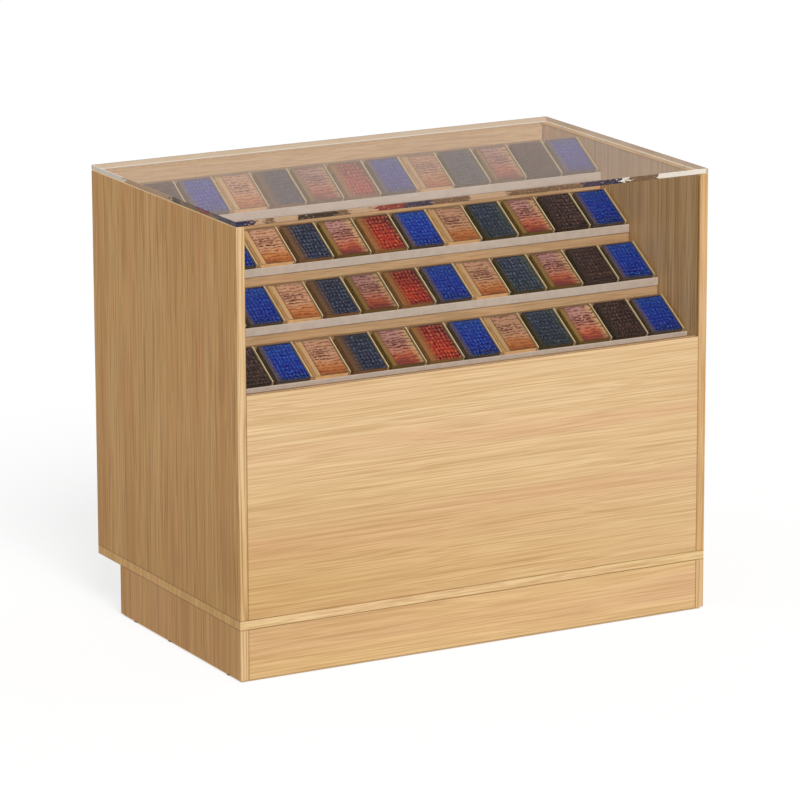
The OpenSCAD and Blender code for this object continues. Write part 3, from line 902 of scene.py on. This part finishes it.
@dataclass
class Carcass:
    """The wooden boards of the cabinet."""

    dresser: Dresser
    edge_ease: float = 0.8 * MM
    front: tuple[str, ...] = ("front_panel",)
    across: tuple[str, ...] = ("deck_board", "storage_shelf_left", "storage_shelf_right")
    under: tuple[str, ...] = ("bottom_board",)
    plinth: tuple[str, ...] = ("plinth_front", "plinth_rear")
    upright: tuple[str, ...] = ("side_panel_left", "side_panel_right", "storage_divider")
    deep: tuple[str, ...] = ("plinth_side_left", "plinth_side_right", "plinth_brace")

    def dress(self) -> None:
        """Puts the laminate on every board of the cabinet."""
        level = tuple((Axis.Z, corner.z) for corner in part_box("bottom_board"))
        above, below = ((*level, *((Axis.X, corner.x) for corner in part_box(board)))
                        for board in ("front_panel", "plinth_front"))
        fine: dict[str, Any] = {"length": 3.6, "contrast": 0.28, "line_scale": 460.0, "line_depth": 2.3,
                                "line_from": 0.38, "pore_scale": 480.0, "pore_depth": 0.3}
        tall: dict[str, Any] = {"light": paint(230, 198, 152), "middle": paint(217, 173, 117),
                                "line_depth": 0.9}
        # outer and foot lay painted shade on the side and rear faces and towards the lower left
        for laminate, names in (
            (Laminate("laminate_front", Axis.X, Axis.Y, light=paint(240, 208, 163),
                      middle=paint(229, 195, 144), cap=paint(150, 114, 84), foot=(0.84, 0.76, 0.6, 1.0),
                      joints=above, seam_shade=0.9, **fine), self.front),
            (Laminate("laminate_inside", Axis.X, Axis.Y, outer=HONEY_SHADE, shift=(1.2, 0.4, 3.1)), self.across),
            (Laminate("laminate_under", Axis.X, Axis.Z, light=paint(237, 207, 156),
                      middle=paint(225, 192, 136), outer=TAWNY_SHADE, joints=level, shift=(0.3, 4.1, 2.2)),
             self.under),
            (Laminate("laminate_plinth", Axis.X, Axis.Z, light=paint(238, 204, 154),
                      middle=paint(226, 189, 134), foot=(0.93, 0.9, 0.82, 1.0), joints=below,
                      shift=(0.7, 1.3, 8.4), **fine), self.plinth),
            (Laminate("laminate_side", Axis.Z, Axis.Y, outer=TAWNY_SHADE, foot=(0.88, 0.85, 0.72, 1.0),
                      joints=above, length=3.0, contrast=1.3, shift=(2.0, 6.1, 0.4), **tall), self.upright),
            (Laminate("laminate_plinth_side", Axis.Z, Axis.Y, outer=(0.92, 0.76, 0.46, 1.0), joints=below,
                      length=4.0, contrast=1.2, shift=(5.0, 0.2, 3.3), **tall), self.deep),
        ):
            self.dresser.coat(laminate, *names, ease=self.edge_ease)


@dataclass
class GlassCase:
    """Glass top, front glass and the clear pads between glass and board."""

    dresser: Dresser

    def dress(self) -> None:
        """Puts the glass finishes on."""
        navy, black, brown = paint(22, 28, 66), paint(38, 30, 28), paint(112, 84, 62)
        red, tan, pale = paint(124, 32, 36), paint(186, 152, 120), paint(240, 232, 218)
        # Painted reflections of the goods and boards in the glass top's edge, with pale painted highlights,
        # from left to right on the front edge and from the rear to the front on the left edge
        front_glints = ((0.0, navy), (0.032, tan), (0.055, brown), (0.075, tan), (0.125, black), (0.2, brown),
                        (0.23, tan), (0.285, red), (0.345, navy), (0.4, brown), (0.48, tan), (0.56, brown),
                        (0.72, navy), (0.805, pale), (0.82, brown), (0.89, pale))
        side_glints = ((0.0, pale), (0.24, tan), (0.56, black), (0.62, brown), (0.74, red), (0.82, brown),
                       (0.86, navy))
        top = ClearGlass("glass_top_clear", edge=paint(206, 182, 152), front_glints=front_glints,
                         side_glints=side_glints)
        front = ClearGlass("front_glass_clear", sheen=paint(120, 112, 102), most=0.3)
        self.dresser.coat(top, "glass_top")
        self.dresser.coat(front, "front_glass")
        self.dresser.coat(Plastic("clear_pad", paint(225, 230, 228), 0.3, clear=0.8), "glass_pads")


@dataclass
class TierRack:
    """The pull-out rack: boards, lips, dividers and the packs on its tiers."""

    dresser: Dresser
    tiers: int = 4
    columns: int = len(COLUMN_KINDS)
    boards: tuple[str, ...] = ("rack_base", "rack_rear_panel")
    gables: tuple[str, ...] = ("rack_gable_left", "rack_gable_centre", "rack_gable_right")
    edge_ease: float = 0.4 * MM
    bed_t: float = 17 * MM
    pack_w: float = 70.5 * MM
    pack_len: float = 100 * MM
    pack_t: float = 19 * MM
    pack_inset: float = 2 * MM
    pack_round: float = 0.9 * MM
    lid_len: float = 27 * MM
    lid_slant: float = 12 * MM
    seam_w: float = 0.7 * MM
    seam_d: float = 0.35 * MM
    rest_play: float = 0.1 * MM
    slip: float = 0.35 * MM
    turn: float = math.radians(0.25)
    strip_h: float = 2.5 * MM
    strip_set: float = 3 * MM
    seed: int = 11

    def dress(self) -> None:
        """Puts the finishes on the rack's own boards, lips and dividers."""
        beds, lips = ([f"tier_{part}_{i + 1}" for i in range(self.tiers)] for part in ("bed", "lip"))
        shared: dict[str, Any] = {"seam_shade": 0.85, "shift": (1.1, 2.6, 3.9)}
        for laminate, names in (
            (Laminate("laminate_rack", Axis.X, Axis.Y, light=paint(235, 197, 154),
                      middle=paint(226, 184, 138), outer=HONEY_SHADE, **shared), self.boards),
            (Laminate("laminate_bed", Axis.X, Axis.Y, light=paint(212, 176, 139),
                      middle=paint(203, 164, 124), dark=paint(168, 126, 86), **shared), beds),
            (Laminate("laminate_gable", Axis.Y, Axis.Z, shift=(0.2, 0.9, 5.5)), self.gables),
        ):
            self.dresser.coat(laminate, *names, ease=self.edge_ease)
        self.dresser.coat(Plastic("lip_plastic", paint(205, 187, 176), 0.35, scale=60.0), *lips)
        self.dresser.coat(Plastic("divider_plastic", paint(230, 206, 162), 0.25, clear=0.2), "pack_dividers")

    def seal(self) -> None:
        """Lays the dust strip that closes the gap between the rear panel and the glass top."""
        low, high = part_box("rack_rear_panel")
        inset = Vector((self.strip_set, self.strip_set, 0))
        strip = Bench.block("display_dust_strip", Vector((low.x, low.y, high.z)) + inset,
                            Vector((high.x, high.y, high.z + self.strip_h)) - inset)
        strip.data.materials.append(Plastic("strip_felt", paint(206, 172, 134), 0.85, mottle=0.3).material())
        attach(strip, "rack")

    def slope(self) -> float:
        """Works the tiers' slope out from a tier board's box.

        Returns:
            The slope in radians.
        """
        low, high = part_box("tier_bed_1")
        run, rise = high.y - low.y, high.z - low.z
        return math.atan2(rise, run) - math.asin(self.bed_t / math.hypot(run, rise))

    def stock(self) -> None:
        """Models one pack, copies it to every place and joins each kind."""
        blank = self._blank()
        slope = self.slope()
        LOG.info("the tiers slope at %.2f degrees", math.degrees(slope))
        draw = random.Random(self.seed)
        places: dict[str, list[bpy.types.Object]] = {look.kind: [] for look in PRINTS}
        for tier in range(self.tiers):
            for column, kind in enumerate(COLUMN_KINDS):
                places[kind].append(self._copy(blank, tier, column, slope, draw))
        bpy.data.objects.remove(blank)
        for look in PRINTS:
            piece = Bench.join(f"display_packs_{look.kind}", places[look.kind])
            piece.data.materials.append(look.material())
            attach(piece, "rack")
            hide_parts(look.node)
            LOG.info("%s stands for %s", piece.name, look.node)

    def _copy(self, blank: bpy.types.Object, tier: int, column: int, slope: float,
              draw: random.Random) -> bpy.types.Object:
        """Copies the pack to one place.

        Args:
            blank: The pack at the origin.
            tier: Number of the tier, from 0.
            column: Number of the column, from 0.
            slope: Slope of the tiers in radians.
            draw: Source of the small differences.

        Returns:
            The copy, with its place in its mesh.
        """
        lip_low, lip_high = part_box(f"tier_lip_{tier + 1}")
        lip_t, lip_h = lip_high.y - lip_low.y, lip_high.z - lip_low.z
        start = lip_t * math.cos(slope) + lip_h * math.sin(slope) + self.rest_play
        pitch = (lip_high.x - lip_low.x) / self.columns
        corner = Vector((lip_low.x + column * pitch, lip_low.y, lip_low.z))
        slip = Vector((draw.uniform(-self.slip, self.slip), 0, 0))
        turn = Matrix.Rotation(draw.uniform(-self.turn, self.turn), 4, "Z")
        middle = Matrix.Translation((self.pack_w / 2, self.pack_len / 2, 0))
        seat = Matrix.Translation(Vector((self.pack_inset, start, self.rest_play)) + slip)
        mesh = blank.data.copy()
        mesh.transform(Matrix.Translation(corner) @ Matrix.Rotation(slope, 4, "X") @ seat
                       @ middle @ turn @ middle.inverted())
        tone = mesh.attributes.new("pack_tone", "FLOAT", "FACE")
        tone.data.foreach_set("value", [draw.random()] * len(mesh.polygons))
        return Bench.link(f"pack_{tier}_{column}", mesh)

    def _blank(self) -> bpy.types.Object:
        """Models one flip-top pack lying on its back at the origin.

        Returns:
            The pack: X across, Y up the slope, its front upwards.
        """
        pack = Bench.block("pack", Vector((0, 0, 0)), Vector((self.pack_w, self.pack_len, self.pack_t)))
        Bench.edit(pack, "EDGE")
        bpy.ops.mesh.select_all(action="SELECT")
        bpy.ops.mesh.bevel(offset=self.pack_round, segments=3, profile=0.5)
        front = Vector((0, self.pack_len - self.lid_len, self.pack_t))
        slant = Vector((0, self.lid_slant, -self.pack_t)).normalized()
        normal = slant.cross(Vector((1, 0, 0)))
        for side in (-0.5, 0.5):
            bpy.ops.mesh.select_all(action="SELECT")
            bpy.ops.mesh.bisect(plane_co=front + normal * side * self.seam_w, plane_no=normal)
        Bench.select_faces(
            pack, lambda face: abs((Vector(face.center) - front).dot(normal)) < self.seam_w * 0.45)
        bpy.ops.transform.shrink_fatten(value=-self.seam_d)
        Bench.leave()
        self._mark(pack)
        Bench.pick(pack)
        bpy.ops.object.shade_smooth_by_angle(angle=SMOOTH_BELOW)
        return pack

    def _mark(self, pack: bpy.types.Object) -> None:
        """Lays the UV map flat on the front, 0 to 1 across and along, and marks each face's part.

        Args:
            pack: The pack.
        """
        layer = pack.data.uv_layers.active or pack.data.uv_layers.new(name="UVMap")
        for loop in pack.data.loops:
            spot = pack.data.vertices[loop.vertex_index].co
            layer.data[loop.index].uv = (spot.x / self.pack_w, spot.y / self.pack_len)
        parts = pack.data.attributes.new("pack_part", "FLOAT", "FACE")
        for face in pack.data.polygons:
            x, y, z = (abs(c) for c in face.normal)
            part = PackPart.SIDE if x > max(y, z) else PackPart.END if y > z else PackPart.FRONT
            parts.data[face.index].value = part.value


@dataclass
class Hardware:
    """Slides, hinges, handles, lock and the small fittings."""

    dresser: Dresser

    def dress(self) -> None:
        """Puts the metal and plastic finishes on."""
        steel = paint(202, 202, 203)
        members = [f"slide_{member}_{name}" for member in ("outer", "middle", "inner") for name, _ in SIDES]
        for finish, names in (
            (Metal("zinc_plate", paint(196, 198, 202), Axis.Y, 0.34),
             (*members, "cam_fittings", "shelf_pins", "lock_keeper")),
            (Metal("hinge_steel", paint(190, 191, 194), Axis.Z, 0.28),
             ("hinge_leaves_cabinet", "hinge_leaves_left", "hinge_leaves_right", "hinge_pins")),
            (Metal("bar_steel", steel, Axis.X, 0.26), ("rack_handles", "slide_balls")),
            (Metal("bar_steel_upright", steel, Axis.Z, 0.26),
             ("door_handle_left", "door_handle_right", "lock_housing")),
            (Metal("lock_brass", paint(214, 188, 120), Axis.Y, 0.25), ("lock_plug",)),
            (Plastic("glide_plastic", paint(34, 33, 32), 0.5), ("floor_glides",)),
            (Plastic("catch_plastic", paint(222, 216, 202), 0.45), ("door_catches",)),
        ):
            self.dresser.coat(finish, *names)


@dataclass(frozen=True)
class Spot:
    """Where one screw head sits: on a body, at a point of a surface that looks outwards along out."""

    body: str
    at: Vector
    out: Vector
    proud: float


@dataclass
class Screws:
    """Cross-recessed screw heads of the slides, hinges, handles and the lock's keeper.

    The heads in the hinge leaves and the outer slide members are sunk, so that they stay clear of the
    parts that close over them.
    """

    head_r: float = 3.1 * MM
    head_h: float = 1.8 * MM
    head_sides: int = 28
    head_curve: float = 0.45
    cross_w: float = 0.8 * MM
    cross_len: float = 3.4 * MM
    cross_d: float = 0.9 * MM
    sunk: float = 0.2 * MM
    raised: float = 1.4 * MM
    slide_share: tuple[float, ...] = (0.08, 0.36, 0.64, 0.92)
    leaf_share: tuple[float, ...] = (0.17, 0.5, 0.83)
    sheet_t: float = 1.2 * MM
    leaf_h: float = 60 * MM
    leaf_inset: float = 6.5 * MM
    post_gap: float = 64 * MM
    bar_end: float = 13 * MM
    keeper_gap: float = 7 * MM
    keeper_t: float = 1.5 * MM
    seed: int = 5

    def build(self) -> None:
        """Copies one head to every place and joins the heads of each body."""
        head = self._head()
        draw = random.Random(self.seed)
        groups: dict[str, list[bpy.types.Object]] = {}
        for spot in (*self._on_slides(), *self._on_hinges(), *self._behind_handles(), *self._on_keeper()):
            groups.setdefault(spot.body, []).append(self._copy(head, spot, draw))
        bpy.data.objects.remove(head)
        material = Metal("screw_zinc", paint(188, 190, 194), Axis.X, 0.36).material()
        for body, heads in groups.items():
            piece = Bench.join(f"display_screws_{body}", heads)
            piece.data.materials.append(material)
            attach(piece, body)
            LOG.info("%s has %d heads", piece.name, len(heads))

    def _head(self) -> bpy.types.Object:
        """Models one pan head with a cross recess.

        Returns:
            The head, standing on the origin and looking up.
        """
        Bench.clear_selection()
        bpy.ops.mesh.primitive_cylinder_add(vertices=self.head_sides, radius=self.head_r, depth=self.head_h,
                                            location=(0, 0, self.head_h / 2))
        head = bpy.context.active_object
        bpy.ops.object.transform_apply(location=True)
        Bench.edit(head, "FACE")
        Bench.select_faces(head, lambda face: face.normal.z > 0.9)
        bpy.ops.mesh.bevel(offset=self.head_curve * self.head_h, segments=3)
        Bench.leave()
        low = self.head_h - self.cross_d
        for long, wide in ((self.cross_len, self.cross_w), (self.cross_w, self.cross_len)):
            half = Vector((long / 2, wide / 2, 0))
            tool = Bench.block("cross", Vector((0, 0, low)) - half, Vector((0, 0, 2 * self.head_h)) + half)
            Bench.pick(head)
            cut = head.modifiers.new("cross", "BOOLEAN")
            cut.operation, cut.object = "DIFFERENCE", tool
            bpy.ops.object.modifier_apply(modifier=cut.name)
            bpy.data.objects.remove(tool)
        bpy.ops.object.shade_smooth_by_angle(angle=SMOOTH_BELOW)
        return head

    def _copy(self, head: bpy.types.Object, spot: Spot, draw: random.Random) -> bpy.types.Object:
        """Copies the head to a spot, turned at random about its own axis.

        Args:
            head: The head at the origin.
            spot: Its place.
            draw: Source of the turns.

        Returns:
            The copy, with its place in its mesh.
        """
        mesh = head.data.copy()
        turn = Matrix.Rotation(draw.uniform(0, math.tau), 4, "Z")
        place = Matrix.Translation(spot.at - spot.out * (self.head_h - spot.proud))
        mesh.transform(place @ spot.out.to_track_quat("Z", "Y").to_matrix().to_4x4() @ turn)
        return Bench.link("head", mesh)

    def _sheet(self, box: Box, out: int) -> float:
        """Returns the x of a sheet's inner face that looks along out, from its part's box."""
        return (box[1].x if out < 0 else box[0].x) + out * self.sheet_t

    def _on_slides(self) -> list[Spot]:
        """Finds the spots in the slide members.

        Returns:
            The spots in the outer members on the cabinet and in the inner members on the rack.
        """
        spots = []
        for name, side in SIDES:
            low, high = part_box(f"slide_outer_{name}")
            middle = (low.z + high.z) / 2
            for member, body, out, proud in (("outer", "cabinet", -side, self.sunk),
                                             ("inner", "rack", side, self.raised)):
                low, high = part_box(f"slide_{member}_{name}")
                for share in self.slide_share:
                    at = Vector((self._sheet((low, high), out), low.y + share * (high.y - low.y), middle))
                    spots.append(Spot(body, at, Vector((out, 0, 0)), proud))
        return spots

    def _on_hinges(self) -> list[Spot]:
        """Finds the spots in the hinge leaves.

        Returns:
            The spots in the leaves on the doors and on the cabinet.
        """
        spots = []
        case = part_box("hinge_leaves_cabinet")
        for name, side in SIDES:
            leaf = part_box(f"hinge_leaves_{name}")
            depth = leaf[0].y + self.leaf_inset
            for foot in (case[0].z, case[1].z - self.leaf_h):
                for z in (foot + share * self.leaf_h for share in self.leaf_share):
                    for body, box, out in ((f"door_{name}", leaf, side), ("cabinet", case, -side)):
                        at = Vector((self._sheet(box, out), depth, z))
                        spots.append(Spot(body, at, Vector((out, 0, 0)), self.sunk))
        return spots

    def _behind_handles(self) -> list[Spot]:
        """Finds the spots behind the handles' posts.

        Returns:
            The spots on the rack's rear panel and on the doors, from inside.
        """
        low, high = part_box("rack_handles")
        near, far = self.bar_end, self.bar_end + 2 * self.post_gap
        places = [("rack", "rack_rear_panel", x, (low.z + high.z) / 2)
                  for x in (low.x + near, low.x + far, high.x - far, high.x - near)]
        for name, _ in SIDES:
            low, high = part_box(f"door_handle_{name}")
            places += [(f"door_{name}", f"door_{name}", (low.x + high.x) / 2,
                        (low.z + high.z) / 2 + s * self.post_gap) for s in (-1, 1)]
        return [Spot(body, Vector((x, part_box(board)[0].y, z)), Vector((0, -1, 0)), self.raised)
                for body, board, x, z in places]

    def _on_keeper(self) -> list[Spot]:
        """Finds the spots in the keeper.

        Returns:
            The two spots in its foot under the deck.
        """
        low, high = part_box("lock_keeper")
        middle = (low + high) / 2
        return [Spot("cabinet", Vector((middle.x + s * self.keeper_gap, middle.y, high.z - self.keeper_t)),
                     Vector((0, 0, -1)), self.raised) for s in (-1, 1)]


@dataclass
class StorageDoors:
    """The two doors at the rear."""

    dresser: Dresser
    edge_ease: float = 0.5 * MM

    def dress(self) -> None:
        """Puts the laminate on the doors."""
        finish = Laminate("laminate_door", Axis.X, Axis.Y, outer=HONEY_SHADE, shift=(2.4, 3.3, 1.2))
        self.dresser.coat(finish, "door_left", "door_right", ease=self.edge_ease)


@dataclass
class Studio:
    """Camera, lamps, world and floor."""

    place: Vector = field(default_factory=lambda: Vector((-4.6171, -8.4471, 2.8272)))
    forward: Vector = field(default_factory=lambda: Vector((0.46531, 0.85160, -0.24138)))
    roll: float = -0.0029
    lens: float = 224.08
    sensor: float = 36.0
    shift: tuple[float, float] = (0.00125, -0.0041)
    clip_end: float = 200.0
    key_from: Vector = field(default_factory=lambda: Vector((-0.16, -0.73, 0.66)))
    key_strength: float = 2.72
    key_angle: float = math.radians(28)
    room_grey: float = 0.4
    floor_size: float = 80.0
    floor_inset: float = 4 * MM
    floor_plain: Colour = (0.38, 0.38, 0.38, 1.0)
    floor_shown: Colour = (0.26, 0.26, 0.26, 1.0)
    floor_glow: Colour = (0.75, 0.75, 0.75, 1.0)
    covered_shade: Colour = paint(186, 152, 110)

    def camera(self) -> None:
        """Sets the camera where the photograph was taken."""
        data = bpy.data.cameras.new("camera")
        data.lens = self.lens
        data.sensor_width = self.sensor
        data.shift_x, data.shift_y = self.shift
        data.clip_end = self.clip_end
        cam = Bench.link("camera", data)
        cam.location = self.place
        cam.rotation_mode = "QUATERNION"
        cam.rotation_quaternion = self.forward.to_track_quat("-Z", "Y") @ Quaternion((0, 0, 1), self.roll)
        bpy.context.scene.camera = cam

    def lamps(self) -> None:
        """Adds the soft key light from the front."""
        data = bpy.data.lights.new("key", "SUN")
        data.energy = self.key_strength
        data.angle = self.key_angle
        lamp = Bench.link("key", data)
        lamp.rotation_mode = "QUATERNION"
        lamp.rotation_quaternion = (-self.key_from).to_track_quat("-Z", "Y")

    def world(self) -> None:
        """Lights the room evenly, and shows it white to the camera, to gloss and through glass."""
        s = Shader("room", world=True)
        grey, white = (s.add("Background", {0: (1, 1, 1, 1), 1: level}) for level in (self.room_grey, 1.0))
        bpy.context.scene.world = s.finish(s.merge(s.seen(), grey, white))

    def floor(self) -> None:
        """Lays the pale floor, which keeps a soft shadow and is dark under the plinth."""
        low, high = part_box("plinth_side_right")
        cover = Vector((high.x, (high.y - low.y) / 2, 0)) - Vector((1, 1, 0)) * self.floor_inset
        Bench.clear_selection()
        bpy.ops.mesh.primitive_plane_add(size=self.floor_size)
        floor = bpy.context.active_object
        floor.name = floor.data.name = "studio_floor"
        s = Shader("pale_floor")
        x, y, _ = s.split("Object")
        outside = s.most(s.past(s.size(x), cover.x), s.past(s.apart(y, (low.y + high.y) / 2), cover.y))
        # Painted shade: under the plinth the floor glows darker and warm, in covered_shade
        glow = s.add("Emission", {"Color": s.blend(outside, self.covered_shade, self.floor_glow)})
        plain, shown = (s.add("BsdfDiffuse", {"Color": grey})
                        for grey in (self.floor_plain, self.floor_shown))
        bright = s.add("AddShader", {0: shown, 1: glow})
        floor.data.materials.append(s.finish(s.merge(s.seen(), plain, bright)))

    def build(self) -> None:
        """Builds the whole studio."""
        self.camera()
        self.lamps()
        self.world()
        self.floor()
        bpy.context.scene.view_settings.view_transform = "Standard"


def main() -> None:
    """Builds the cabinet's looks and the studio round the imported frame."""
    logging.basicConfig(level=logging.INFO, format="%(name)s: %(message)s")
    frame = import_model()
    Studio().build()
    dresser = Dresser(frame["nodes"])
    Carcass(dresser).dress()
    GlassCase(dresser).dress()
    Hardware(dresser).dress()
    StorageDoors(dresser).dress()
    rack = TierRack(dresser)
    rack.dress()
    rack.seal()
    rack.stock()
    Screws().build()


if __name__ == "__main__":
    main()
